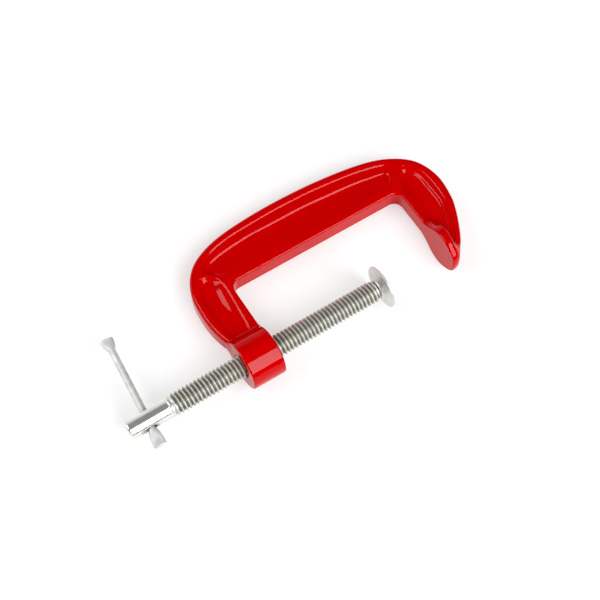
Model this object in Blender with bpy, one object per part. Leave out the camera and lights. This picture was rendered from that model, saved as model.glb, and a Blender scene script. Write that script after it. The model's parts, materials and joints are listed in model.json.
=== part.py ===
"""G-clamp (C-clamp) of the light 75 mm class, lying on a bench.

Four pieces, as the tool is really made: a cast frame with its threaded boss and its anvil, a
rolled-thread screw with a cross hole in its head, a tommy bar that is loose in that hole, and a
flared pad that is riveted loosely on the screw's tip.

The pieces are drawn in the clamp's own axes: X is the screw's axis with x = 0 just in front of
the boss, +Y runs from the screw to the spine and Z is square to the frame's plane. The empty "clamp_on_bench" then lays the whole clamp down. The boss and the anvil are thicker than
the spine, so the frame leans over about the screw until the spine's rim touches the bench.
"""

import math

import bmesh
import bpy
from mathutils import Matrix, Vector

MM = 0.001

# Screw: a rolled thread is larger than the blank, which the plain head shows
THREAD_R = 5.0 * MM
ROOT_R = 4.0 * MM
BLANK_R = 4.5 * MM
PITCH = 1.87 * MM
HEAD_END_X = -73.9 * MM
THREAD_START_X = -55.3 * MM
TIP_X = 49.6 * MM
HEAD_CHAMFER = 0.7 * MM
SCREW_SIDES = 16
CREST_HALF = 0.12  # half the flat on a crest, in pitches
MERGED_SPAN = 0.1 * MM  # a thread's last point this near its end is drawn on the end

# Rivet that holds the pad on the screw's tip
RIVET_R = 2.0 * MM
RIVET_HEAD_R = 2.9 * MM
RIVET_NECK = 2.1 * MM
RIVET_END_X = 52.7 * MM

# Swivel pad: x of its collar and of its face
PAD_BACK_X = 49.95 * MM
PAD_FACE_X = 53.05 * MM
PAD_R = 9.95 * MM
COLLAR_R = 4.7 * MM
PAD_RIM = 0.75 * MM
PAD_BORE_R = 2.3 * MM
PAD_SINK_R = 3.9 * MM
PAD_SIDES = 32

# Tommy bar
BAR_X = -64.25 * MM
BAR_R = 1.6 * MM
BAR_HOLE_R = 2.1 * MM
BAR_FAR = 41.0 * MM
BAR_NEAR = 12.9 * MM
BAR_FAR_FLARE = 6.0 * MM
BAR_NEAR_FLARE = 8.8 * MM
BAR_FLAT_HALF_WIDTH = 2.85 * MM
BAR_FLAT_HALF_THICKNESS = 0.9 * MM
BAR_TURN = math.radians(3.0)  # from the frame's plane
BAR_SKEW = math.radians(4.3)  # the bar leans in its loose hole
BAR_SIDES = 16

# Frame
HALF_THICKNESS = 4.65 * MM
EDGE_ROUND = 1.6 * MM
BOSS_R = 11.2 * MM
BOSS_BACK_X = -18.8 * MM
BOSS_FACE_X = -3.1 * MM
BOSS_CHAMFER = 0.6 * MM
BOSS_SIDES = 48
JAW_X = 84.9 * MM  # the anvil's face
ARM_BACK_X = 85.15 * MM  # the inner edge of the arm that carries the anvil
ANVIL_R = 10.9 * MM
ANVIL_Y = 1.9 * MM
ANVIL_THICKNESS = 4.4 * MM
ANVIL_FILLET = 4.5 * MM
ANVIL_EDGE = 0.5 * MM
ANVIL_ROOT_HALF = 4.5 * MM  # where its fillets end, just inside the arm's faces
SPINE_Y = 34.7 * MM
ARM_X = -3.2 * MM  # the inner edge of the arm that carries the boss
INNER_CORNER_R = 4.2 * MM
POCKET_DEPTH = 2.0 * MM
POCKET_DRAFT = 1.6 * MM

# Thread cut in the boss, with room round the screw's thread
NUT_MAJOR_R = 5.3 * MM
NUT_MINOR_R = 4.4 * MM
NUT_CREST_HALF = 0.2
NUT_MOUTH = 0.4 * MM  # how far each mouth opens beyond the thread

# The frame's outer edge, from the boss round the spine to the back of the anvil, in mm
OUTER_EDGE = (
    (-18.2, 9.6), (-19.9, 13.5), (-21.4, 20.5), (-21.7, 29.0), (-20.4, 38.5), (-16.2, 47.2),
    (-9.0, 53.4), (3.0, 57.7), (19.5, 59.7), (38.0, 60.2), (58.5, 59.2), (78.5, 56.4),
    (91.5, 51.9), (101.0, 44.2), (105.1, 33.0), (104.3, 21.3), (101.5, 12.6), (95.6, 1.2),
    (91.3, -5.2), (88.4, -8.2),
)

# The shallow pockets in both faces, in mm
SPINE_POCKET = (
    (-8.6, 47.2), (-6.3, 42.0), (-1.5, 38.9), (5.0, 37.4), (38.0, 37.0), (76.0, 37.4),
    (83.0, 39.2), (86.3, 43.4), (82.5, 47.6), (60.0, 51.8), (38.0, 53.2), (15.0, 52.6),
    (-1.0, 50.6),
)
BOSS_ARM_POCKET = (
    (-15.8, 39.0), (-18.4, 31.5), (-18.6, 20.5), (-15.5, 13.4), (-10.2, 12.8), (-6.6, 17.0),
    (-6.3, 31.0), (-9.0, 38.2), (-12.4, 40.8),
)
ANVIL_ARM_POCKET = (
    (91.0, 43.0), (88.1, 36.0), (88.1, 20.0), (90.8, 13.6), (95.6, 14.4), (99.6, 22.0),
    (101.6, 31.5), (98.8, 40.2), (94.6, 44.6),
)


def clear_scene():
    for thing in list(bpy.data.objects):
        bpy.data.objects.remove(thing, do_unlink=True)


def material(name, colour, roughness, metallic):
    made = bpy.data.materials.new(name)
    made.use_nodes = True
    shader = made.node_tree.nodes["Principled BSDF"]
    shader.inputs["Base Color"].default_value = (*colour, 1.0)
    shader.inputs["Roughness"].default_value = roughness
    shader.inputs["Metallic"].default_value = metallic
    return made


def mesh_object(name, points, faces, merge=False):
    """An object from points and faces, with its faces turned outwards."""
    mesh = bpy.data.meshes.new(name)
    mesh.from_pydata([tuple(p) for p in points], [], faces)
    work = bmesh.new()
    work.from_mesh(mesh)
    if merge:
        bmesh.ops.remove_doubles(work, verts=work.verts, dist=0.001 * MM)
    bmesh.ops.recalc_face_normals(work, faces=work.faces)
    work.to_mesh(mesh)
    work.free()
    made = bpy.data.objects.new(name, mesh)
    bpy.context.collection.objects.link(made)
    return made


def empty(name, parent=None):
    made = bpy.data.objects.new(name, None)
    made.empty_display_size = 0.01
    made.parent = parent
    bpy.context.collection.objects.link(made)
    return made


def combine(target, tool, operation):
    """Joins tool to target, or cuts it away, and removes tool."""
    boolean = target.modifiers.new(tool.name, "BOOLEAN")
    boolean.operation = operation
    boolean.solver = "EXACT"
    boolean.object = tool
    graph = bpy.context.evaluated_depsgraph_get()
    result = bpy.data.meshes.new_from_object(target.evaluated_get(graph))
    target.modifiers.clear()
    target.data = result
    bpy.data.objects.remove(tool, do_unlink=True)


def bevelled(thing, width, segments, angle):
    """Rounds the edges of thing that are sharper than angle degrees."""
    bevel = thing.modifiers.new("round", "BEVEL")
    bevel.width = width
    bevel.segments = segments
    bevel.limit_method = "ANGLE"
    bevel.angle_limit = math.radians(angle)
    graph = bpy.context.evaluated_depsgraph_get()
    result = bpy.data.meshes.new_from_object(thing.evaluated_get(graph))
    thing.modifiers.clear()
    thing.data = result
    return thing


def finish(thing, look, parent, sharp_angle=35.0):
    thing.data.materials.clear()
    thing.data.materials.append(look)
    thing.data.shade_smooth()
    thing.data.set_sharp_from_angle(angle=math.radians(sharp_angle))
    thing.parent = parent
    return thing


def smooth_curve(points, steps, closed=False):
    """Catmull-Rom curve through points, with steps spans between two of them."""
    count = len(points)
    spans = count if closed else count - 1
    curve = []
    for i in range(spans):
        near = [(i + k) % count if closed else min(max(i + k, 0), count - 1) for k in (-1, 0, 1, 2)]
        before, start, end, after = (Vector(points[k]) for k in near)
        for step in range(steps):
            t = step / steps
            curve.append(
                0.5
                * (
                    2 * start
                    + (end - before) * t
                    + (2 * before - 5 * start + 4 * end - after) * t**2
                    + (3 * start - before - 3 * end + after) * t**3
                )
            )
    if not closed:
        curve.append(Vector(points[-1]))
    return curve


def arc(centre, radius, start, end, steps):
    """Points on an arc in a plane, from angle start to angle end in degrees."""
    angles = [math.radians(start + (end - start) * i / steps) for i in range(steps + 1)]
    return [Vector((centre[0] + radius * math.cos(a), centre[1] + radius * math.sin(a))) for a in angles]


def widened(outline, distance):
    """A closed outline moved out along its normals, or in where distance is negative."""
    count = len(outline)
    area = sum(outline[i - 1].cross(outline[i]) for i in range(count))
    side = 1 if area > 0 else -1
    moved = []
    for i in range(count):
        along = (outline[(i + 1) % count] - outline[i - 1]).normalized()
        moved.append(outline[i] + Vector((along.y, -along.x)) * side * distance)
    return moved


def slab(name, low, high, place):
    """A closed solid between two outlines of as many points. place(point, top) gives a corner."""
    count = len(low)
    points = [place(p, False) for p in low] + [place(p, True) for p in high]
    faces = [list(range(count)), list(range(count, 2 * count))]
    for i in range(count):
        j = (i + 1) % count
        faces.append([i, j, count + j, count + i])
    return mesh_object(name, points, faces)


def turned(name, profile, sides):
    """A closed solid turned about X. The profile is (x, r) points, on a loop or from tip to tip."""
    closed = profile[0][1] > 0 and profile[-1][1] > 0
    points, rings = [], []
    for x, r in profile:
        if r == 0:
            rings.append([len(points)])
            points.append((x, 0, 0))
            continue
        rings.append(list(range(len(points), len(points) + sides)))
        for i in range(sides):
            angle = 2 * math.pi * i / sides
            points.append((x, r * math.cos(angle), r * math.sin(angle)))
    faces = []
    pairs = list(zip(rings, rings[1:]))
    if closed:
        pairs.append((rings[-1], rings[0]))
    for a, b in pairs:
        for i in range(sides):
            j = (i + 1) % sides
            corners = [a[i % len(a)], a[j % len(a)], b[j % len(b)], b[i % len(b)]]
            faces.append(list(dict.fromkeys(corners)))
    return mesh_object(name, points, faces)


def threaded_rod(name, before, after, thread_radius, crest_half, sides):
    """A rod about X with a right-hand thread between two plain ends.

    before and after are the (x, r) rings of the plain ends, in the order of x. The thread fills
    the length between them, and thread_radius(x, share) gives its radius at x, where share is 1
    on a crest and 0 at a root. A crest passes the +Y side at every whole pitch from x = 0, so
    that two threads of one pitch mesh.
    """
    shares = ((-crest_half, 1.0), (crest_half, 1.0), (0.5, 0.0), (1.0 - crest_half, 1.0))
    rows = len(shares)
    start, end = before[-1][0], after[0][0]
    first_turn = math.floor(start / PITCH) - 1
    columns = (math.ceil(end / PITCH) + 1 - first_turn) * sides
    points, faces = [], []

    def add_point(x, r, step):
        angle = 2 * math.pi * step / sides
        points.append((x, r * math.cos(angle), r * math.sin(angle)))

    for column in range(columns + 1):
        for phase, share in shares:
            x = PITCH * (first_turn + column / sides + phase)
            if x < start + MERGED_SPAN:
                add_point(*before[-1], column)
            elif x > end - MERGED_SPAN:
                add_point(*after[0], column)
            else:
                add_point(x, thread_radius(x, share), column)
    for column in range(columns):
        a, b = column * rows, (column + 1) * rows
        faces += [[a + k, b + k, b + k + 1, a + k + 1] for k in range(rows - 1)]

    for plain in (before, after):
        first = len(points)
        for x, r in plain:
            for i in range(sides):
                add_point(x, r, i)
        for row in range(len(plain) - 1):
            a, b = first + row * sides, first + (row + 1) * sides
            faces += [[a + i, a + (i + 1) % sides, b + (i + 1) % sides, b + i] for i in range(sides)]
        cap = first if plain is before else len(points) - sides
        faces.append(list(range(cap, cap + sides)))
    return mesh_object(name, points, faces, merge=True)


def screw_solid():
    """The screw: plain head with its cross hole, thread, and the rivet at its tip."""
    runout = 1.5 * PITCH
    shoulder_r = ROOT_R - 0.1 * MM

    def radius(x, share):
        grown = min((x - THREAD_START_X) / runout, 1.0)
        return BLANK_R + (ROOT_R + (THREAD_R - ROOT_R) * share - BLANK_R) * grown

    screw = threaded_rod(
        "screw",
        before=(
            (HEAD_END_X, BLANK_R - HEAD_CHAMFER),
            (HEAD_END_X + HEAD_CHAMFER, BLANK_R),
            (THREAD_START_X, BLANK_R),
        ),
        after=(
            (TIP_X, shoulder_r),
            (TIP_X, RIVET_R),
            (TIP_X + RIVET_NECK, RIVET_R),
            (RIVET_END_X - 0.25 * MM, RIVET_HEAD_R),
            (RIVET_END_X, RIVET_HEAD_R - 0.3 * MM),
        ),
        thread_radius=radius,
        crest_half=CREST_HALF,
        sides=SCREW_SIDES,
    )
    hole = turned("hole", ((-8 * MM, 0), (-8 * MM, BAR_HOLE_R), (8 * MM, BAR_HOLE_R), (8 * MM, 0)), 20)
    hole.data.transform(Matrix.Translation((BAR_X, 0, 0)) @ bar_frame(skew=0.0))
    combine(screw, hole, "DIFFERENCE")
    return screw


def bar_frame(skew):
    """Turns the X axis to the tommy bar's direction and Y to the wide way of its flat ends."""
    along = Vector(
        (math.sin(skew), math.cos(skew) * math.cos(BAR_TURN), math.cos(skew) * math.sin(BAR_TURN))
    )
    flat_normal = Vector((0, -math.sin(BAR_TURN), math.cos(BAR_TURN)))
    wide = flat_normal.cross(along)
    return Matrix((along, wide, flat_normal)).transposed().to_4x4()


def tommy_bar_solid():
    """A round bar with both ends hammered flat, drawn along X with the hole's centre at x = 0."""
    rings = []
    for end, flare, side in ((BAR_NEAR, BAR_NEAR_FLARE, -1), (BAR_FAR, BAR_FAR_FLARE, 1)):
        for share in (1.0, 0.96, 0.7, 0.45, 0.2, 0.0):
            spread = share * share * (3 - 2 * share)
            trim = 0.25 * MM if share == 1.0 else 0.0
            widening = math.sin(min(share / 0.75, 1.0) * math.pi / 2)
            wide = BAR_R + (BAR_FLAT_HALF_WIDTH - BAR_R) * widening - trim
            thick = BAR_R + (BAR_FLAT_HALF_THICKNESS - BAR_R) * spread - trim
            square = 1.0 - 0.35 * spread
            rings.append((side * (end - flare * (1 - share)), wide, thick, square))
    rings.sort()
    points, faces = [], []
    for x, wide, thick, square in rings:
        for i in range(BAR_SIDES):
            c, s = math.cos(2 * math.pi * i / BAR_SIDES), math.sin(2 * math.pi * i / BAR_SIDES)
            y = wide * math.copysign(abs(c) ** square, c)
            z = thick * math.copysign(abs(s) ** square, s)
            points.append((x, y, z))
    for row in range(len(rings) - 1):
        for i in range(BAR_SIDES):
            j = (i + 1) % BAR_SIDES
            a, b = row * BAR_SIDES, (row + 1) * BAR_SIDES
            faces.append([a + i, a + j, b + j, b + i])
    faces.append(list(range(BAR_SIDES)))
    faces.append(list(range(len(points) - BAR_SIDES, len(points))))
    return mesh_object("tommy_bar", points, faces)


def pad_solid():
    """The flared pad, bored and countersunk for the rivet."""
    flare = []
    for i in range(5):
        share = i / 4
        x = PAD_BACK_X + 0.35 * MM + (PAD_FACE_X - PAD_RIM - PAD_BACK_X - 0.35 * MM) * share
        flare.append((x, COLLAR_R + (PAD_R - 0.2 * MM - COLLAR_R) * share**1.35))
    sink_start = PAD_FACE_X - (PAD_SINK_R - PAD_BORE_R)
    profile = (
        (PAD_BACK_X, PAD_BORE_R),
        (PAD_BACK_X, COLLAR_R - 0.35 * MM),
        *flare,
        (PAD_FACE_X - PAD_RIM + 0.15 * MM, PAD_R),
        (PAD_FACE_X - 0.2 * MM, PAD_R),
        (PAD_FACE_X, PAD_R - 0.2 * MM),
        (PAD_FACE_X, PAD_SINK_R),
        (sink_start, PAD_BORE_R),
    )
    return turned("swivel_pad", profile, PAD_SIDES)


def frame_plate():
    """The flat casting's outline at full thickness, with rounded edges."""
    corner = INNER_CORNER_R
    outline = smooth_curve([(x * MM, y * MM) for x, y in OUTER_EDGE], 2)
    outline.append(Vector((ARM_BACK_X, -6.5 * MM)))
    outline += arc((ARM_BACK_X - corner, SPINE_Y - corner), corner, 0, 90, 6)
    outline += arc((ARM_X + corner, SPINE_Y - corner), corner, 90, 180, 6)
    outline.append(Vector((ARM_X, 3.0 * MM)))
    outline.append(Vector((-18.0 * MM, 3.0 * MM)))

    def place(point, top):
        return (point.x, point.y, HALF_THICKNESS if top else -HALF_THICKNESS)

    return bevelled(slab("frame", outline, outline, place), EDGE_ROUND, 3, 50)


def anvil_solid():
    """The anvil: a round plate that narrows, with a fillet each side, into the arm."""
    fillet_z = ANVIL_ROOT_HALF + ANVIL_FILLET
    apart = ANVIL_R + ANVIL_FILLET
    fillet_y = ANVIL_Y + math.sqrt(apart**2 - fillet_z**2)
    meet = math.degrees(math.asin(fillet_z / apart))
    outline = arc((ANVIL_Y, 0), ANVIL_R, meet, 360 - meet, 30)
    outline += arc((fillet_y, -fillet_z), ANVIL_FILLET, 180 - meet, 90, 4)[1:]
    outline += arc((fillet_y, fillet_z), ANVIL_FILLET, 270, 180 + meet, 4)[:-1]

    def place(point, top):
        return (JAW_X + (ANVIL_THICKNESS if top else 0.0), point.x, point.y)

    return bevelled(slab("anvil", outline, outline, place), ANVIL_EDGE, 2, 50)


def pocket_cutter(outline, side):
    """Cuts one shallow pocket with sloping walls into one face of the plate."""
    curve = smooth_curve([(x * MM, y * MM) for x, y in outline], 3, closed=True)
    floor = (HALF_THICKNESS - POCKET_DEPTH) * side
    above = (HALF_THICKNESS + 0.5 * MM) * side

    def place(point, top):
        return (point.x, point.y, above if top else floor)

    return slab("pocket", widened(curve, -POCKET_DRAFT), curve, place)


def thread_cutter():
    """Cuts the boss's thread and its countersunk mouths. It runs past both faces of the boss."""

    def radius(x, share):
        inside = min(BOSS_FACE_X - x, x - BOSS_BACK_X)
        mouth = NUT_MAJOR_R + NUT_MOUTH - max(inside, 0.0)
        return max(NUT_MINOR_R + (NUT_MAJOR_R - NUT_MINOR_R) * share, mouth)

    start, end = BOSS_BACK_X - 2 * PITCH, BOSS_FACE_X + 2 * PITCH
    return threaded_rod(
        "thread",
        before=((start - PITCH, NUT_MINOR_R), (start, NUT_MINOR_R)),
        after=((end, NUT_MINOR_R), (end + PITCH, NUT_MINOR_R)),
        thread_radius=radius,
        crest_half=NUT_CREST_HALF,
        sides=SCREW_SIDES,
    )


def frame_solid():
    frame = frame_plate()
    rim = BOSS_R - BOSS_CHAMFER
    boss = turned(
        "boss",
        (
            (BOSS_BACK_X, 0),
            (BOSS_BACK_X, rim),
            (BOSS_BACK_X + BOSS_CHAMFER, BOSS_R),
            (BOSS_FACE_X - BOSS_CHAMFER, BOSS_R),
            (BOSS_FACE_X, rim),
            (BOSS_FACE_X, 0),
        ),
        BOSS_SIDES,
    )
    combine(frame, boss, "UNION")
    combine(frame, anvil_solid(), "UNION")
    for outline in (SPINE_POCKET, BOSS_ARM_POCKET, ANVIL_ARM_POCKET):
        for side in (-1, 1):
            combine(frame, pocket_cutter(outline, side), "DIFFERENCE")
    combine(frame, thread_cutter(), "DIFFERENCE")
    return frame


def bench_lean():
    """How far the clamp rolls about its screw before the spine's rounded rim is as low as the boss."""
    rim_y = max(y for _, y in OUTER_EDGE) * MM - EDGE_ROUND
    rim_z = HALF_THICKNESS - EDGE_ROUND
    return math.asin((BOSS_R - EDGE_ROUND) / math.hypot(rim_y, rim_z)) - math.atan2(rim_z, rim_y)


def lay_on_bench(base, pieces):
    """Leans the clamp, and puts the row's origin under the middle of its box, on the bench."""
    base.rotation_euler.x = -bench_lean()
    bpy.context.view_layer.update()
    corners = [piece.matrix_world @ v.co for piece in pieces for v in piece.data.vertices]
    low = [min(c[i] for c in corners) for i in range(3)]
    high = [max(c[i] for c in corners) for i in range(3)]
    base.location = (-(low[0] + high[0]) / 2, -(low[1] + high[1]) / 2, -low[2])
    bpy.context.view_layer.update()


def build():
    clear_scene()
    enamel = material("red_enamel", (0.58, 0.003, 0.004), 0.18, 0.0)
    plated = material("zinc_plated_steel", (0.62, 0.62, 0.58), 0.32, 1.0)
    bar_steel = material("plated_bar", (0.6, 0.6, 0.58), 0.36, 1.0)
    pad_steel = material("plated_pad", (0.66, 0.67, 0.64), 0.38, 1.0)

    base = empty("clamp_on_bench")
    travel = empty("screw_travel", base)
    turn = empty("screw_turn", travel)
    cross = empty("bar_slide", turn)
    cross.location = (BAR_X, 0, 0)
    cross.rotation_euler = bar_frame(BAR_SKEW).to_euler()

    pieces = [
        finish(frame_solid(), enamel, base),
        finish(pad_solid(), pad_steel, travel),
        finish(screw_solid(), plated, turn),
        finish(tommy_bar_solid(), bar_steel, cross),
    ]
    lay_on_bench(base, pieces)


build()
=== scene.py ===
"""Looks of a G-clamp on a white bench: enamelled cast frame, zinc-plated screw, pad and bar.

Shapes are made in the clamp's own axes, in millimetres: X is the screw's axis with x = 0 just in
front of the boss, +Y runs from the screw to the spine and Z is square to the frame's plane. The
matrix LAY puts them where the CAD model lies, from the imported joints.
"""

import json
import math

import bmesh
import bpy
import numpy as np
from mathutils import Matrix, Vector


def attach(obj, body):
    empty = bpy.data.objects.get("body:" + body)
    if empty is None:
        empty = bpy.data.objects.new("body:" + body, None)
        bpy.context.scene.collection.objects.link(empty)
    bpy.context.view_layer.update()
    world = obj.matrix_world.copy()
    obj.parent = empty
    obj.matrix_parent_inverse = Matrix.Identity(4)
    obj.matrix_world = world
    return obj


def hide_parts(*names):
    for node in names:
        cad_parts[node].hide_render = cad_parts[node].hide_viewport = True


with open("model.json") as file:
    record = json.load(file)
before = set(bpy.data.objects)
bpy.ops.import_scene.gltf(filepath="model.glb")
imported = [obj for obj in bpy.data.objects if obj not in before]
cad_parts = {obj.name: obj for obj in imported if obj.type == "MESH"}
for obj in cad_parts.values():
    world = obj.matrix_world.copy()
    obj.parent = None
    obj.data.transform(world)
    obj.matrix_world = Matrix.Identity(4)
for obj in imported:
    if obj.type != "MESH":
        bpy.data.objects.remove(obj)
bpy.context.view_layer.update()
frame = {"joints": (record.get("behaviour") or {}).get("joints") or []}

MM = 0.001

# Screw, pad and bar, as in the CAD
THREAD_R = 5.0
ROOT_R = 4.0
BLANK_R = 4.5
PITCH = 1.87
HEAD_END_X = -73.9
THREAD_START_X = -55.3
TIP_X = 49.6
HEAD_CHAMFER = 0.7
RIVET_R = 2.0
RIVET_HEAD_R = 2.9
RIVET_NECK = 2.1
RIVET_END_X = 52.7
PAD_BACK_X = 49.95
PAD_FACE_X = 53.05
PAD_R = 9.95
COLLAR_R = 4.7
PAD_RIM = 0.75
PAD_BORE_R = 2.3
PAD_SINK_R = 3.9
BAR_X = -64.25
BAR_R = 1.6
BAR_HOLE_R = 2.1
BAR_FAR = 41.0
BAR_NEAR = 12.9
BAR_FAR_FLARE = 6.0
BAR_NEAR_FLARE = 8.8
BAR_FLAT_HALF_WIDTH = 2.85
BAR_FLAT_HALF_THICKNESS = 0.9
BAR_CORNER = 0.7
BAR_TURN = math.radians(3.0)
BAR_SKEW = math.radians(4.3)

# Frame
HALF_THICKNESS = 4.65
OUTER_ROUND = 1.9
THROAT_ROUND = 0.9
BOSS_R = 11.2
BOSS_BACK_X = -18.8
BOSS_FACE_X = -3.1
BOSS_ROUND = 0.7
BOSS_FILLET = 1.6
BORE_R = 5.15
BORE_MOUTH = 0.65
JAW_X = 84.9
ANVIL_R = 10.5
ANVIL_Y = 2.0
ANVIL_BACK_X = 89.3
ANVIL_TAPER = 0.12  # its back slopes, so that its tip is thinner
ANVIL_ROUND = 1.7
ANVIL_FILLET = 4.2
SPINE_Y = 34.7
ARM_X = -3.2
INNER_CORNER_R = 4.2
CAST_LOW = (-22.9, -12.1, -12.1)
CAST_HIGH = (106.4, 61.6, 12.1)
GRID = 0.33

# Plan maps of the frame's outer edge and of its sunk faces
PLAN_LOW = (-26.0, -16.0)
PLAN_HIGH = (110.0, 65.0)
MAP_STEP = 0.25
SOFTENING = 2  # times that the sunk faces are blurred

# Steps of the sunk faces, each with its depth and its width
SPINE_RIM_STEP = (0.64, 0.8)
SPINE_FLOOR_STEP = (0.62, 0.8)
SPINE_DISH = 0.4  # how much deeper the middle of the spine's floor is
ARM_RIM_STEP = (0.5, 0.9)
BOSS_ARM_FLOOR_STEP = (1.3, 1.7)
BOSS_ARM_INNER_WALL = 3.6  # its floor's step is this wide on the throat's side
ANVIL_ARM_FLOOR_STEP = (1.4, 2.2)

# The outlines below are points of smooth curves, in mm. They were measured on the photo's edges
# and highlights through a fitted camera, and partly moved.

# The frame's outer edge, which outer_loop closes through the boss and the throat
OUTER_EDGE = (
    (-18.2, 9.6), (-19.9, 13.5), (-21.4, 20.5), (-21.7, 29.0), (-20.4, 38.5), (-16.2, 47.2),
    (-9.0, 53.4), (3.0, 57.7), (19.5, 59.7), (38.0, 60.2), (58.5, 59.2), (78.5, 56.4),
    (91.5, 51.9), (101.0, 44.2), (105.1, 33.0), (104.3, 21.3), (101.5, 12.6), (95.6, 1.2),
    (91.3, -4.3), (88.0, -6.5),
)

# Two steps go down into the spine's recess, which runs out at the throat's edge
SPINE_RIM = (
    (-9.8, 47.3), (-6.6, 50.7), (-1.7, 52.9), (7.2, 54.8), (22.2, 55.8), (37.4, 56.1),
    (53.0, 55.5), (69.8, 53.8), (81.9, 51.5), (88.2, 49.3), (90.6, 47.6), (89.6, 45.4),
    (86.2, 42.2), (83.5, 39.0), (81.0, 34.0), (74.0, 28.0), (40.0, 27.0), (8.0, 28.0),
    (3.0, 34.0), (-0.2, 37.8), (-3.9, 39.2), (-7.4, 41.8), (-9.6, 44.6),
)
SPINE_FLOOR = (
    (-8.4, 46.4), (-5.2, 48.3), (1.7, 49.9), (15.3, 51.2), (28.9, 51.1), (43.1, 51.0),
    (56.7, 50.1), (70.2, 48.9), (80.0, 47.3), (85.0, 46.2), (86.3, 44.2), (84.4, 41.0),
    (82.6, 38.4), (80.0, 34.0), (74.0, 28.0), (40.0, 27.0), (8.0, 28.0), (3.6, 34.5),
    (0.4, 38.4), (-3.2, 39.9), (-6.5, 42.4), (-8.4, 44.8),
)
BOSS_ARM_RIM = (
    (-9.0, 41.0), (-13.2, 43.4), (-16.8, 39.6), (-18.6, 34.2), (-18.8, 29.2), (-18.2, 23.7),
    (-17.4, 15.7), (-16.5, 12.4), (-15.0, 8.0), (-13.0, 4.0), (-8.4, 4.0), (-7.6, 11.0),
    (-7.0, 16.6), (-6.3, 25.1), (-5.8, 32.8), (-6.4, 38.0),
)
BOSS_ARM_FLOOR = (
    (-8.3, 40.6), (-12.2, 42.0), (-15.5, 39.2), (-17.0, 34.2), (-17.2, 29.2), (-16.6, 23.7),
    (-15.9, 16.7), (-15.1, 12.6), (-13.8, 8.0), (-12.0, 4.0), (-9.4, 4.0), (-9.2, 11.0),
    (-9.4, 16.6), (-9.6, 22.0), (-9.9, 28.8), (-9.0, 34.8), (-7.9, 38.0),
)
ANVIL_ARM_RIM = (
    (93.4, 44.6), (97.2, 43.0), (99.3, 39.4), (100.6, 34.8), (101.0, 28.8), (100.6, 22.0),
    (98.8, 15.0), (94.6, 5.6), (90.6, -1.0), (87.4, 0.0), (87.6, 8.0), (87.4, 13.6),
    (84.6, 18.4), (82.0, 26.0), (84.0, 34.0), (88.5, 39.6),
)
ANVIL_ARM_FLOOR = (
    (92.6, 42.6), (95.7, 40.8), (97.7, 36.3), (98.0, 29.7), (98.1, 25.3), (97.9, 20.0),
    (96.2, 14.0), (92.6, 6.6), (89.8, 2.0), (88.0, 2.0), (88.4, 9.0), (88.0, 14.4),
    (85.0, 19.4), (82.0, 26.0), (84.0, 33.6), (88.7, 38.6),
)


# ---------------------------------------------------------------- placement


def clamp_matrix():
    """Clamp axes in mm to the row frame in metres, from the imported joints."""
    joints = {joint["name"]: joint for joint in frame["joints"]}
    spin = joints["screw_spin"]["pos_m"]
    slide = joints["bar_slide"]["axis"]
    lean = math.atan2(slide[2], slide[1]) - BAR_TURN
    start = (spin[0] - BAR_X * MM, spin[1], spin[2])
    return Matrix.Translation(start) @ Matrix.Rotation(lean, 4, "X") @ Matrix.Scale(MM, 4)


LAY = clamp_matrix()


def mesh_piece(name, points, faces):
    """A mesh object in the row frame from points in clamp mm."""
    points = np.asarray(points, float)
    turn = np.array(LAY.to_3x3())
    placed = points @ turn.T + np.array(LAY.translation)
    mesh = bpy.data.meshes.new(name)
    mesh.from_pydata(placed.tolist(), [], [list(map(int, f)) for f in faces])
    mesh.update()
    mesh.shade_smooth()
    made = bpy.data.objects.new(name, mesh)
    bpy.context.collection.objects.link(made)
    return made


# ---------------------------------------------------------------- frame casting


def smooth_loop(points, steps):
    """Closed Catmull-Rom curve through points."""
    p = np.asarray(points, float)
    a, b, c, d = np.roll(p, 1, 0), p, np.roll(p, -1, 0), np.roll(p, -2, 0)
    rows = []
    for step in range(steps):
        t = step / steps
        rows.append(
            0.5
            * (
                2 * b
                + (c - a) * t
                + (2 * a - 5 * b + 4 * c - d) * t**2
                + (3 * b - a - 3 * c + d) * t**3
            )
        )
    return np.stack(rows, 1).reshape(-1, 2)


def outer_loop(steps=10):
    """The outer edge as a smooth curve, closed by straight lines inside the throat."""
    edge = np.asarray(OUTER_EDGE, float)
    padded = np.vstack([2 * edge[0] - edge[1], edge, 2 * edge[-1] - edge[-2]])
    curve = smooth_loop(padded, steps)[steps : steps * len(edge) + 1]
    inner = [(78.0, -6.8), (78.0, 27.0), (4.0, 27.0), (4.0, 3.0), (-16.0, 3.0)]
    return np.vstack([curve, inner])


def inside_distance(x, y, loop):
    """Distance to a closed loop, positive inside it."""
    best = np.full(x.shape, 1e9)
    odd = np.zeros(x.shape, bool)
    for (ax, ay), (bx, by) in zip(loop, np.roll(loop, -1, 0)):
        ex, ey = bx - ax, by - ay
        px, py = x - ax, y - ay
        t = np.clip((px * ex + py * ey) / (ex * ex + ey * ey + 1e-12), 0, 1)
        best = np.minimum(best, (px - t * ex) ** 2 + (py - t * ey) ** 2)
        crosses = (ay > y) != (by > y)
        odd ^= crosses & (px < ex * py / (ey if ey else 1e-12))
    return np.where(odd, 1.0, -1.0) * np.sqrt(best)


def ease(t):
    t = np.clip(t, 0, 1)
    return t * t * (3 - 2 * t)


def blurred(values, times):
    """Each pass averages a map with its neighbours, as thick enamel softens a casting."""
    for _ in range(times):
        for axis in (0, 1):
            count = values.shape[axis]
            grown = np.pad(values, [(1, 1) if k == axis else (0, 0) for k in (0, 1)], mode="edge")
            low, mid, high = (np.take(grown, range(s, s + count), axis) for s in (0, 1, 2))
            values = (low + 2 * mid + high) / 4
    return values


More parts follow.
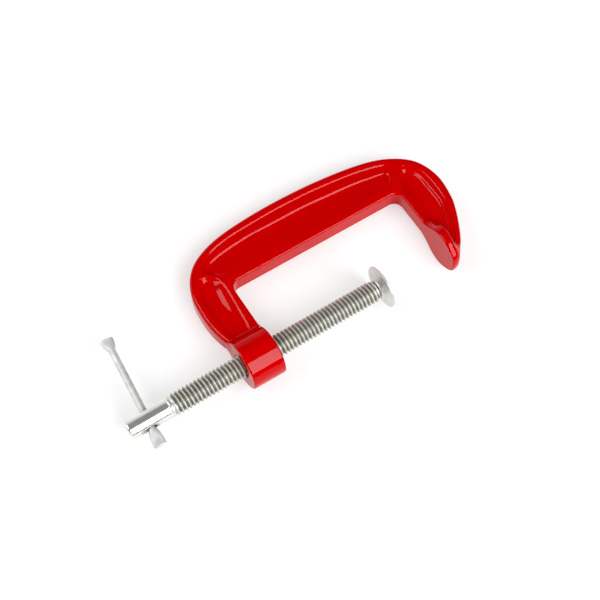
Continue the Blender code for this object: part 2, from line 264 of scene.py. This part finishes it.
class PlanMap:
    """A smooth function of the plan position, held on a grid."""

    size = [round((high - low) / MAP_STEP) + 1 for low, high in zip(PLAN_LOW, PLAN_HIGH)]

    @classmethod
    def positions(cls):
        xs = PLAN_LOW[0] + MAP_STEP * np.arange(cls.size[0])
        ys = PLAN_LOW[1] + MAP_STEP * np.arange(cls.size[1])
        return np.meshgrid(xs, ys, indexing="ij")

    def __init__(self, values):
        self.values = values

    def __call__(self, x, y):
        """Cubic interpolation."""
        u = np.clip((x - PLAN_LOW[0]) / MAP_STEP, 1, self.size[0] - 3)
        v = np.clip((y - PLAN_LOW[1]) / MAP_STEP, 1, self.size[1] - 3)
        iu, iv = u.astype(int), v.astype(int)
        total = 0.0
        for i, wu in enumerate(cubic_weights(u - iu)):
            for j, wv in enumerate(cubic_weights(v - iv)):
                total = total + wu * wv * self.values[iu + i - 1, iv + j - 1]
        return total


def cubic_weights(t):
    """Catmull-Rom weights of the four neighbours."""
    return (
        0.5 * (-t + 2 * t**2 - t**3),
        0.5 * (2 - 5 * t**2 + 3 * t**3),
        0.5 * (t + 4 * t**2 - 3 * t**3),
        0.5 * (-(t**2) + t**3),
    )


def recess_depth(x, y):
    """How far both faces of the plate are sunk below its rim."""

    def step(loop, depth, width):
        inside = inside_distance(x, y, smooth_loop(loop, 6))
        return depth * ease(inside / width + 0.5)

    spine = step(SPINE_RIM, *SPINE_RIM_STEP) + step(SPINE_FLOOR, *SPINE_FLOOR_STEP)
    spine = spine * ease((92.5 - x) / 8.0)
    from_edge = y - SPINE_Y
    dish = SPINE_DISH * ease(from_edge / 9.0) * ease((20.5 - from_edge) / 9.0)
    spine = (spine + dish * ease(spine / 1.2)) * ease((from_edge - 0.8) / 14.0)

    depth, wall = BOSS_ARM_FLOOR_STEP
    wall = wall + (BOSS_ARM_INNER_WALL - wall) * ease((x + 13.0) / 3.0)
    depth = depth * (0.4 + 0.6 * ease((y - 20.0) / 14.0))  # shallower towards the boss
    boss_arm = step(BOSS_ARM_RIM, *ARM_RIM_STEP) + step(BOSS_ARM_FLOOR, depth, wall)
    anvil_arm = step(ANVIL_ARM_RIM, *ARM_RIM_STEP) + step(ANVIL_ARM_FLOOR, *ANVIL_ARM_FLOOR_STEP)
    anvil_arm = anvil_arm * ease((x - JAW_X - 0.8) / 6.0)
    return np.maximum(spine, np.maximum(boss_arm, anvil_arm))


def round_and(a, b, r):
    """Where both fields are inside, with the outer edge rounded."""
    return np.minimum(-r, np.maximum(a, b)) + np.hypot(np.maximum(r + a, 0), np.maximum(r + b, 0))


def round_or(a, b, r):
    """Where either field is inside, with a fillet between them."""
    return np.maximum(r, np.minimum(a, b)) - np.hypot(np.maximum(r - a, 0), np.maximum(r - b, 0))


plan_x, plan_y = PlanMap.positions()
outer_map = PlanMap(-inside_distance(plan_x, plan_y, outer_loop()))
height_map = PlanMap(HALF_THICKNESS - blurred(recess_depth(plan_x, plan_y), SOFTENING))


def throat(x, y):
    """Distance from the throat, negative in it."""
    half = (JAW_X - ARM_X) / 2
    tall = 60.0
    qx = np.abs(x - (JAW_X + ARM_X) / 2) - half + INNER_CORNER_R
    qy = np.abs(y - (SPINE_Y - tall)) - tall + INNER_CORNER_R
    outside = np.hypot(np.maximum(qx, 0), np.maximum(qy, 0))
    return outside + np.minimum(np.maximum(qx, qy), 0) - INNER_CORNER_R


def casting(x, y, z):
    """The casting's field: negative in the metal, in mm."""
    plate = round_and(np.abs(z) - height_map(x, y), outer_map(x, y), OUTER_ROUND)
    back = x - ANVIL_BACK_X - ANVIL_TAPER * (y - ANVIL_Y)
    disc = round_and(np.hypot(y - ANVIL_Y, z) - ANVIL_R, back, ANVIL_ROUND)
    disc = np.maximum(disc, JAW_X - 8.0 - x)
    body = round_or(plate, disc, ANVIL_FILLET)
    body = round_and(body, -throat(x, y), THROAT_ROUND)
    from_axis = np.hypot(y, z)
    along = np.abs(x - (BOSS_BACK_X + BOSS_FACE_X) / 2) - (BOSS_FACE_X - BOSS_BACK_X) / 2
    boss = round_and(from_axis - BOSS_R, along, BOSS_ROUND)
    body = round_or(body, boss, BOSS_FILLET)
    bore = from_axis - BORE_R - np.clip(along + BORE_MOUTH, 0, 1.5)
    bore = np.maximum(bore, along - 1.0)
    return np.maximum(body, -bore)


def surface_net(field, low, high, cell):
    """A closed mesh of quads on the surface where field is zero."""
    axes = [np.arange(a, b + cell, cell) for a, b in zip(low, high)]
    slabs = np.array_split(axes[0], 12)
    value = np.concatenate([field(*np.meshgrid(slab, *axes[1:], indexing="ij")) for slab in slabs])
    inside = value < 0
    corners = [(i, j, k) for i in (0, 1) for j in (0, 1) for k in (0, 1)]
    n = inside.shape
    count = sum(
        inside[i : n[0] - 1 + i, j : n[1] - 1 + j, k : n[2] - 1 + k].astype(np.int8)
        for i, j, k in corners
    )
    mixed = (count > 0) & (count < 8)
    index = np.full(mixed.shape, -1)
    index[mixed] = np.arange(mixed.sum())
    cells = np.argwhere(mixed)
    total = np.zeros((len(cells), 3))
    hits = np.zeros((len(cells), 1))
    for axis in range(3):
        unit = np.eye(3, dtype=int)[axis]
        for corner in corners:
            if corner[axis]:
                continue
            a = cells + corner
            b = a + unit
            va, vb = value[tuple(a.T)], value[tuple(b.T)]
            cut = (va < 0) != (vb < 0)
            t = np.where(cut, va / np.where(cut, va - vb, 1), 0)
            total += np.where(cut[:, None], a + t[:, None] * unit, 0)
            hits += cut[:, None]
    points = np.array(low) + cell * total / hits
    faces = []
    for axis in range(3):
        u, v = (axis + 1) % 3, (axis + 2) % 3
        first = np.take(inside, range(n[axis] - 1), axis)
        second = np.take(inside, range(1, n[axis]), axis)
        edges = np.argwhere(first != second)
        past_low = (edges[:, u] > 0) & (edges[:, v] > 0)
        edges = edges[past_low & (edges[:, u] < n[u] - 1) & (edges[:, v] < n[v] - 1)]
        ring = []
        for du, dv in ((1, 1), (0, 1), (0, 0), (1, 0)):
            at = edges.copy()
            at[:, u] -= du
            at[:, v] -= dv
            ring.append(index[tuple(at.T)])
        quads = np.stack(ring, 1)
        outward = inside[tuple(edges.T)]
        faces.append(np.where(outward[:, None], quads, quads[:, ::-1]))
    return points, np.concatenate(faces)


def gradient(field, p, step=0.02):
    """The field's slope at each point."""
    slopes = []
    for axis in range(3):
        move = np.zeros(3)
        move[axis] = step
        slopes.append((field(*(p + move).T) - field(*(p - move).T)) / (2 * step))
    return np.stack(slopes, 1)


def settle(field, points, times=3):
    """Moves points onto the surface where field is zero."""
    for _ in range(times):
        slope = gradient(field, points)
        size = np.maximum((slope**2).sum(1), 0.25)
        move = slope * (field(*points.T) / size)[:, None]
        length = np.linalg.norm(move, axis=1, keepdims=True)
        points = points - move * np.minimum(1, 0.2 / np.maximum(length, 1e-9))
    return points


def set_point_values(mesh, name, values):
    mesh.attributes.new(name, "FLOAT", "POINT").data.foreach_set("value", values.astype(np.float32))


def make_casting():
    """The frame's mesh, with a mask at 1 in the bore and its mouths for bare metal darkened as
    painted shade, and normals from the casting's field.
    """
    points, faces = surface_net(casting, CAST_LOW, CAST_HIGH, GRID)
    points = settle(casting, points)
    made = mesh_piece("frame_casting", points, faces)
    from_axis = np.hypot(points[:, 1], points[:, 2])
    # Mask of the bore and its mouths: bare metal, darkened as painted shade where the screw enters
    bare_and_shaded = np.clip((BORE_R + 0.8 - from_axis) / 0.5, 0, 1) * (points[:, 0] < ARM_X + 2.0)
    set_point_values(made.data, "bare_and_shaded", bare_and_shaded)
    normals = gradient(casting, points) @ np.array(LAY.to_3x3().normalized()).T
    normals /= np.maximum(np.linalg.norm(normals, axis=1, keepdims=True), 1e-9)
    made.data.normals_split_custom_set_from_vertices(normals.tolist())
    return made


# ---------------------------------------------------------------- screw, pad and bar


def turned_rows(profile, sides):
    """Points and faces of a solid turned about X, from (x, r) points on a loop or tip to tip."""
    closed = profile[0][1] > 0 and profile[-1][1] > 0
    points, rings = [], []
    for x, r in profile:
        if r == 0:
            rings.append([len(points)])
            points.append((x, 0, 0))
            continue
        rings.append(list(range(len(points), len(points) + sides)))
        for i in range(sides):
            angle = 2 * math.pi * i / sides
            points.append((x, r * math.cos(angle), r * math.sin(angle)))
    pairs = list(zip(rings, rings[1:]))
    if closed:
        pairs.append((rings[-1], rings[0]))
    faces = []
    for a, b in pairs:
        for i in range(sides):
            j = (i + 1) % sides
            ring = [a[i % len(a)], b[i % len(b)], b[j % len(b)], a[j % len(a)]]
            faces.append(list(dict.fromkeys(ring)))
    return points, faces


def rounded(profile, radius, steps=3):
    """A profile with the corners between its ends rounded."""
    pts = [np.array(p, float) for p in profile]
    out = [tuple(pts[0])]
    for before, here, after in zip(pts, pts[1:], pts[2:]):
        a, b = before - here, after - here
        la, lb = np.linalg.norm(a), np.linalg.norm(b)
        cut = min(radius, 0.45 * la, 0.45 * lb)
        start, end = here + a / la * cut, here + b / lb * cut
        for k in range(steps + 1):
            t = k / steps
            out.append(tuple((1 - t) ** 2 * start + 2 * t * (1 - t) * here + t**2 * end))
    out.append(tuple(pts[-1]))
    return out


THREAD_PROFILE = (
    (-0.13, 0.86), (-0.1, 0.97), (-0.05, 1.0), (-0.015, 0.97), (0.015, 0.97), (0.05, 1.0),
    (0.1, 0.97), (0.13, 0.86), (0.37, 0.1), (0.43, 0.01), (0.5, 0.0), (0.57, 0.01), (0.63, 0.1),
    (0.87, 0.86),
)
SCREW_SIDES = 64
HEAD_CORNER = 0.25
RIVET_CORNER = 0.3
THREAD_RUNOUT = 2.4 * PITCH  # over this the thread grows to full depth, from the head on
THREAD_END = 0.9 * PITCH  # and over this it goes down again at the tip
PLAIN_SHARE = 2.0  # the plain head's value in "crest", where a thread's crest has 1
RIVET_SHARE = 0.4  # and the rivet's


def strip_faces(first, rows, sides):
    """Quads between neighbouring rings of points."""
    faces = []
    for row in range(rows - 1):
        a, b = first + row * sides, first + (row + 1) * sides
        for i in range(sides):
            j = (i + 1) % sides
            faces.append([a + i, b + i, b + j, a + j])
    return faces


def screw_mesh():
    """The screw as one skin: plain head, rolled thread, and the rivet at its tip."""
    sides, rows = SCREW_SIDES, len(THREAD_PROFILE)
    first_turn = math.floor(THREAD_START_X / PITCH) - 1
    columns = (math.ceil(TIP_X / PITCH) + 1 - first_turn) * sides
    shoulder_r = ROOT_R - 0.1
    step = np.arange(columns + 1)[:, None]
    phase = np.array([p for p, _ in THREAD_PROFILE])[None, :]
    share = np.array([s for _, s in THREAD_PROFILE])[None, :]
    x = PITCH * (first_turn + step / sides + phase)
    grown = np.clip((x - THREAD_START_X) / THREAD_RUNOUT, 0, 1)
    end_grown = ease((TIP_X - x) / THREAD_END)
    radius = BLANK_R + (ROOT_R + (THREAD_R - ROOT_R) * share - BLANK_R) * ease(grown)
    radius = shoulder_r + (radius - shoulder_r) * end_grown
    below, above = x < THREAD_START_X + 0.02, x > TIP_X - 0.02
    radius = np.where(below, BLANK_R, np.where(above, shoulder_r, radius))
    x = np.clip(x, THREAD_START_X, TIP_X)
    angle = 2 * np.pi * step / sides + 0 * x
    thread = np.stack([x, radius * np.cos(angle), radius * np.sin(angle)], 2).reshape(-1, 3)
    crest = np.where(below, PLAIN_SHARE, share * grown + PLAIN_SHARE * (1 - grown)).reshape(-1)
    points, crests = [thread], [crest]
    a = (np.arange(columns)[:, None] * rows + np.arange(rows - 1)[None, :]).reshape(-1)
    faces = np.stack([a, a + 1, a + rows + 1, a + rows], 1).tolist()

    head = [
        (HEAD_END_X, 0.01), (HEAD_END_X, BLANK_R - HEAD_CHAMFER),
        (HEAD_END_X + HEAD_CHAMFER, BLANK_R), (THREAD_START_X, BLANK_R),
    ]
    head = rounded(head, HEAD_CORNER)
    head = head[:-1] + [(THREAD_START_X - back, BLANK_R) for back in (4.0, 1.0)] + head[-1:]
    rivet = [
        (TIP_X, RIVET_R), (TIP_X + RIVET_NECK, RIVET_R), (RIVET_END_X - 0.25, RIVET_HEAD_R),
        (RIVET_END_X, RIVET_HEAD_R - 0.4), (RIVET_END_X + 0.12, 0.01),
    ]
    tip = [(TIP_X, shoulder_r), (TIP_X, RIVET_R)] + rounded(rivet, RIVET_CORNER)[1:]
    turn = 2 * np.pi * np.arange(sides) / sides
    first = len(thread)
    for plain, value, at_tip in ((head, PLAIN_SHARE, False), (tip, RIVET_SHARE, True)):
        for px, pr in plain:
            points.append(np.stack([np.full(sides, px), pr * np.cos(turn), pr * np.sin(turn)], 1))
            crests.append(np.full(sides, value))
        faces += strip_faces(first, len(plain), sides)
        last = first + len(plain) * sides
        if at_tip:
            faces.append(list(range(last - sides, last)))
        else:
            faces.append(list(range(first, first + sides))[::-1])
        first = last
    return np.concatenate(points), faces, np.concatenate(crests)


def merged(thing, distance=0.002 * MM):
    """Joins points that lie together, and turns the faces outwards."""
    work = bmesh.new()
    work.from_mesh(thing.data)
    bmesh.ops.remove_doubles(work, verts=work.verts, dist=distance)
    bmesh.ops.recalc_face_normals(work, faces=work.faces)
    work.to_mesh(thing.data)
    work.free()
    return thing


def shaded(thing, sharp_degrees=40):
    """Smooth shading, but for edges sharper than an angle."""
    thing.data.shade_smooth()
    thing.data.set_sharp_from_angle(angle=math.radians(sharp_degrees))
    return thing


def along_bar(points, skew):
    """Turns points about X into points about the tommy bar, Y being the wide way of its ends."""
    along = Vector(
        (math.sin(skew), math.cos(skew) * math.cos(BAR_TURN), math.cos(skew) * math.sin(BAR_TURN))
    )
    flat_normal = Vector((0, -math.sin(BAR_TURN), math.cos(BAR_TURN)))
    wide = flat_normal.cross(along)
    return np.array(points) @ np.array((along, wide, flat_normal)) + np.array((BAR_X, 0, 0))


def make_screw():
    """The screw with its cross hole, and "crest" from 0 at the thread's root to 1 at its crest."""
    points, faces, crests = screw_mesh()
    screw = mesh_piece("screw_body", points, faces)
    set_point_values(screw.data, "crest", crests)
    merged(screw)
    reach = BLANK_R + 3.5
    rod = [(-reach, 0), (-reach, BAR_HOLE_R), (reach, BAR_HOLE_R), (reach, 0)]
    hole_points, hole_faces = turned_rows(rod, SCREW_SIDES)
    hole = merged(mesh_piece("cross_hole", along_bar(hole_points, 0.0), hole_faces))
    cut = screw.modifiers.new("hole", "BOOLEAN")
    cut.operation = "DIFFERENCE"
    cut.solver = "EXACT"
    cut.object = hole
    graph = bpy.context.evaluated_depsgraph_get()
    result = bpy.data.meshes.new_from_object(screw.evaluated_get(graph))
    screw.modifiers.clear()
    screw.data = result
    bpy.data.objects.remove(hole, do_unlink=True)
    return shaded(screw)


def make_pad():
    """A collar that flares out to a thin rim, with a countersunk hole."""
    flare = []
    flare_start = PAD_BACK_X + 0.35
    for i in range(9):
        share = i / 8
        x = flare_start + (PAD_FACE_X - PAD_RIM - flare_start) * share
        flare.append((x, COLLAR_R + (PAD_R - 0.2 - COLLAR_R) * share**1.35))
    sink_start = PAD_FACE_X - (PAD_SINK_R - PAD_BORE_R)
    profile = [
        (PAD_BACK_X, PAD_BORE_R), (PAD_BACK_X, COLLAR_R - 0.35),
        (PAD_BACK_X + 0.12, COLLAR_R - 0.1), *flare,
        (PAD_FACE_X - PAD_RIM + 0.1, PAD_R - 0.08), (PAD_FACE_X - PAD_RIM + 0.22, PAD_R),
        (PAD_FACE_X - 0.25, PAD_R), (PAD_FACE_X - 0.08, PAD_R - 0.07), (PAD_FACE_X, PAD_R - 0.25),
        (PAD_FACE_X, PAD_SINK_R), (sink_start, PAD_BORE_R),
    ]
    return shaded(merged(mesh_piece("pad_disc", *turned_rows(profile, 128))))


def make_bar():
    """A round bar whose ends are hammered flat. A ring is its place, widths and squareness."""
    sides = 40
    rings = []
    for end, flare, side in ((BAR_NEAR, BAR_NEAR_FLARE, -1), (BAR_FAR, BAR_FAR_FLARE, 1)):
        corner = BAR_CORNER / flare
        shares = [1.0 - corner * (1 - math.cos(math.pi * k / 12)) for k in range(7)]
        shares += [1.0 - corner - (1.0 - corner) * (k + 1) / 14 for k in range(14)]
        for share in shares:
            spread = ease(share / 0.85)
            widening = math.sin(min(1.0, share / 0.75) * math.pi / 2) ** 0.8
            past = max(0.0, (share - 1 + corner) / corner)
            trim = 1 - math.sqrt(max(0.0, 1 - past**2))
            wide = BAR_R + (BAR_FLAT_HALF_WIDTH - BAR_R) * widening - BAR_CORNER * trim
            thick = BAR_R + (BAR_FLAT_HALF_THICKNESS - BAR_R) * spread - 0.3 * trim
            rings.append((side * (end - flare * (1 - share)), wide, thick, 1.0 - 0.35 * spread))
    rings.sort()
    points = []
    for x, wide, thick, square in rings:
        for i in range(sides):
            c, s = math.cos(2 * math.pi * i / sides), math.sin(2 * math.pi * i / sides)
            across = wide * math.copysign(abs(c) ** square, c)
            points.append((x, across, thick * math.copysign(abs(s) ** square, s)))
    faces = strip_faces(0, len(rings), sides)
    faces.append(list(range(sides)))
    faces.append(list(range(len(points) - sides, len(points)))[::-1])
    return shaded(merged(mesh_piece("bar_body", along_bar(points, BAR_SKEW), faces)), 50)


# ---------------------------------------------------------------- materials


def new_material(name):
    made = bpy.data.materials.new(name)
    made.use_nodes = True
    return made, made.node_tree.nodes, made.node_tree.links, made.node_tree.nodes["Principled BSDF"]


def noise(nodes, links, scale, detail):
    place = nodes.new("ShaderNodeTexCoord")
    made = nodes.new("ShaderNodeTexNoise")
    made.inputs["Scale"].default_value = scale
    made.inputs["Detail"].default_value = detail
    links.new(place.outputs["Object"], made.inputs["Vector"])
    return made.outputs["Fac"]


def remapped(nodes, links, source, start, end, low=0.0, high=1.0, smooth=False):
    """Spreads values from start to end over low to high, and holds them there beyond."""
    made = nodes.new("ShaderNodeMapRange")
    if smooth:
        made.interpolation_type = "SMOOTHSTEP"
    for name, value in (("From Min", start), ("From Max", end), ("To Min", low), ("To Max", high)):
        made.inputs[name].default_value = value
    links.new(source, made.inputs["Value"])
    return made.outputs["Result"]


def patches(nodes, links, scale, detail, low=0.0, high=1.0):
    """Noise of which nearly the whole range is used."""
    return remapped(nodes, links, noise(nodes, links, scale, detail), 0.3, 0.7, low, high)


def attribute(nodes, name):
    made = nodes.new("ShaderNodeAttribute")
    made.attribute_name = name
    return made.outputs["Fac"]


def mixed_colour(nodes, links, factor, first, second):
    made = nodes.new("ShaderNodeMix")
    made.data_type = "RGBA"
    links.new(factor, made.inputs["Factor"])
    for socket, colour in (("A", first), ("B", second)):
        target = [s for s in made.inputs if s.name == socket and s.type == "RGBA"][0]
        if isinstance(colour, tuple):
            target.default_value = (*colour, 1.0)
        else:
            links.new(colour, target)
    return [s for s in made.outputs if s.type == "RGBA"][0]


def bumped(nodes, links, shader, height, distance):
    made = nodes.new("ShaderNodeBump")
    made.inputs["Distance"].default_value = distance
    links.new(height, made.inputs["Height"])
    links.new(made.outputs["Normal"], shader.inputs["Normal"])


ENAMEL_DARK = (0.46, 0.0006, 0.0016)
ENAMEL_LIGHT = (0.5, 0.001, 0.0022)
# Bare metal of the bore and its mouths, made nearly black as painted shade
BORE_METAL_AND_SHADE = (0.05, 0.035, 0.03)
ENAMEL_WAVES = 0.000012  # height of its faint orange peel, in metres


def enamel_material():
    """Thick glossy enamel with orange peel, and oily bare metal in the bore, made nearly black as
    painted shade.
    """
    made, nodes, links, shader = new_material("red_enamel")
    colour = mixed_colour(nodes, links, patches(nodes, links, 90.0, 3.0), ENAMEL_DARK, ENAMEL_LIGHT)
    # The bore gets bare metal with painted shade
    colour = mixed_colour(nodes, links, attribute(nodes, "bare_and_shaded"), colour, BORE_METAL_AND_SHADE)
    links.new(colour, shader.inputs["Base Color"])
    shader.inputs["Specular IOR Level"].default_value = 0.32
    links.new(patches(nodes, links, 400.0, 2.0, 0.07, 0.13), shader.inputs["Roughness"])
    bumped(nodes, links, shader, noise(nodes, links, 280.0, 1.0), ENAMEL_WAVES)
    return made


# Thread tones: painted shade in the root and on the flanks, a painted highlight on the crest; the
# specks are random dark spots
THREAD_ROOT_SHADE = (0.22, 0.22, 0.18)
THREAD_FLANK_SHADE = (0.6, 0.61, 0.56)
THREAD_CREST_HIGHLIGHT = (0.93, 0.94, 0.9)
THREAD_SPECKS = (0.16, 0.16, 0.13)
THREAD_ROUGHNESS = 0.46
ZINC_GRAIN = 0.000004  # in metres


def zinc_material(name, bright, dull, roughness, threaded=False):
    """Zinc plate in two tones. A thread gets painted shade at its root and on its flanks, a painted
    highlight at its crest, and dark specks.
    """
    made, nodes, links, shader = new_material(name)
    shader.inputs["Metallic"].default_value = 1.0
    colour = mixed_colour(nodes, links, patches(nodes, links, 260.0, 4.0), dull, bright)
    if threaded:
        crest = attribute(nodes, "crest")
        # Painted shade from the root up the flanks, then a painted highlight on the crest
        root_to_flank_shade = remapped(nodes, links, crest, 0.05, 0.6)
        thread = mixed_colour(nodes, links, root_to_flank_shade, THREAD_ROOT_SHADE, THREAD_FLANK_SHADE)
        crest_highlight_share = remapped(nodes, links, crest, 0.82, 0.98)
        thread = mixed_colour(nodes, links, crest_highlight_share, thread, THREAD_CREST_HIGHLIGHT)
        specks = patches(nodes, links, 1300.0, 3.0, 0.0, 0.45)
        thread = mixed_colour(nodes, links, specks, thread, THREAD_SPECKS)
        plain_share = remapped(nodes, links, crest, 1.0, PLAIN_SHARE)
        colour = mixed_colour(nodes, links, plain_share, thread, colour)
        rough = remapped(nodes, links, crest, 1.0, PLAIN_SHARE, THREAD_ROUGHNESS, roughness)
    else:
        rough = patches(nodes, links, 900.0, 3.0, roughness - 0.03, roughness + 0.04)
    links.new(colour, shader.inputs["Base Color"])
    links.new(rough, shader.inputs["Roughness"])
    bumped(nodes, links, shader, noise(nodes, links, 1500.0, 3.0), ZINC_GRAIN)
    return made


def dress(piece, look, body, node):
    """Gives a piece its material and its body, and hides the CAD node that it stands for."""
    piece.data.materials.clear()
    piece.data.materials.append(look)
    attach(piece, body)
    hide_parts(node)


screw_zinc = zinc_material("zinc_screw", (0.86, 0.87, 0.83), (0.78, 0.79, 0.75), 0.17, True)
pad_zinc = zinc_material("zinc_pad", (0.72, 0.73, 0.70), (0.62, 0.63, 0.60), 0.38)
bar_zinc = zinc_material("zinc_bar", (0.79, 0.8, 0.78), (0.59, 0.6, 0.59), 0.66)
dress(make_casting(), enamel_material(), "frame", "frame")
dress(make_screw(), screw_zinc, "screw", "screw")
dress(make_pad(), pad_zinc, "pad", "swivel_pad")
dress(make_bar(), bar_zinc, "tommy_bar", "tommy_bar")


# ---------------------------------------------------------------- floor, light and camera


def direction(azimuth, elevation):
    a, e = math.radians(azimuth), math.radians(elevation)
    return Vector((math.cos(e) * math.cos(a), math.cos(e) * math.sin(a), math.sin(e)))


LIGHT_DISTANCE = 1.2
LIGHT_TARGET = (0.0, 0.0, 0.01)


def softbox(name, azimuth, elevation, wide, tall, radiance):
    """An area light that faces the clamp, and looks as bright as radiance from there."""
    light = bpy.data.lights.new(name, "AREA")
    light.shape = "RECTANGLE"
    light.size = wide
    light.size_y = tall
    light.energy = radiance * math.pi * wide * tall
    made = bpy.data.objects.new(name, light)
    towards = direction(azimuth, elevation)
    made.location = Vector(LIGHT_TARGET) + towards * LIGHT_DISTANCE
    made.rotation_euler = towards.to_track_quat("Z", "Y").to_euler()
    bpy.context.collection.objects.link(made)


FLOOR_HALF = 6.0
FLOOR_Z = -0.02 * MM


def white_floor():
    """A matt white bench. Part of its white is its own light, which keeps the shadows faint."""
    corners = [(-1, -1), (1, -1), (1, 1), (-1, 1)]
    mesh = bpy.data.meshes.new("floor")
    points = [(FLOOR_HALF * x, FLOOR_HALF * y, FLOOR_Z) for x, y in corners]
    mesh.from_pydata(points, [], [(0, 1, 2, 3)])
    floor = bpy.data.objects.new("floor", mesh)
    bpy.context.collection.objects.link(floor)
    look, _, _, shader = new_material("white_bench")
    shader.inputs["Base Color"].default_value = (0.5, 0.5, 0.5, 1)
    shader.inputs["Emission Color"].default_value = (1, 1, 1, 1)
    shader.inputs["Emission Strength"].default_value = 0.47
    shader.inputs["Roughness"].default_value = 0.9
    shader.inputs["Specular IOR Level"].default_value = 0.1
    mesh.materials.append(look)


# Greys of the room by the height that a direction points to, from 0 at the horizon to 1 overhead
ROOM_GREYS = ((0.0, 0.92), (0.45, 0.86), (0.58, 0.64), (0.7, 0.4), (0.82, 0.3), (1.0, 0.3))
NEAR_SIDE_GREY = 0.3
GAP_GREY = 0.12  # between the softbox and the floor
RIGHT_SIDE_GREY = 0.2


def studio_world():
    """A room that is pale low down on its far side and darker elsewhere."""
    world = bpy.data.worlds.new("studio")
    world.use_nodes = True
    nodes, links = world.node_tree.nodes, world.node_tree.links
    place = nodes.new("ShaderNodeTexCoord")
    split = nodes.new("ShaderNodeSeparateXYZ")
    links.new(place.outputs["Generated"], split.inputs[0])
    right, far, up = (split.outputs[axis] for axis in "XYZ")

    ramp = nodes.new("ShaderNodeValToRGB")
    links.new(up, ramp.inputs[0])
    elements = ramp.color_ramp.elements
    while len(elements) < len(ROOM_GREYS):
        elements.new(0.5)
    for element, (position, grey) in zip(elements, ROOM_GREYS):
        element.position = position
        element.color = (grey, grey, grey, 1)

    gap = nodes.new("ShaderNodeMath")
    gap.operation = "MULTIPLY"
    links.new(remapped(nodes, links, far, -0.55, -0.8), gap.inputs[0])
    links.new(remapped(nodes, links, up, 0.36, 0.28), gap.inputs[1])
    far_side = remapped(nodes, links, far, -0.25, 0.45, smooth=True)
    right_side = remapped(nodes, links, right, 0.3, 0.6, smooth=True)
    colour = mixed_colour(nodes, links, far_side, (NEAR_SIDE_GREY,) * 3, ramp.outputs[0])
    colour = mixed_colour(nodes, links, gap.outputs[0], colour, (GAP_GREY,) * 3)
    colour = mixed_colour(nodes, links, right_side, colour, (RIGHT_SIDE_GREY,) * 3)
    links.new(colour, nodes["Background"].inputs[0])
    bpy.context.scene.world = world


def camera():
    data = bpy.data.cameras.new("camera")
    data.lens = 81.0
    data.sensor_width = 36.0
    made = bpy.data.objects.new("camera", data)
    made.location = (-0.144374, -0.180816, 0.549866)
    made.rotation_euler = [math.radians(a) for a in (22.4248, -3.5822, -32.3044)]
    bpy.context.collection.objects.link(made)
    bpy.context.scene.camera = made


BLACK_POINT = (0.012, 0.024, 0.023)  # red, green and blue at or below this turn black

white_floor()
studio_world()
softbox("softbox", azimuth=-75, elevation=42, wide=1.12, tall=1.12, radiance=4.8)
softbox("side_light", azimuth=151, elevation=45, wide=0.95, tall=0.6, radiance=3.3)
camera()
view = bpy.context.scene.view_settings
view.view_transform = "Standard"
view.use_curve_mapping = True
view.curve_mapping.black_level = BLACK_POINT
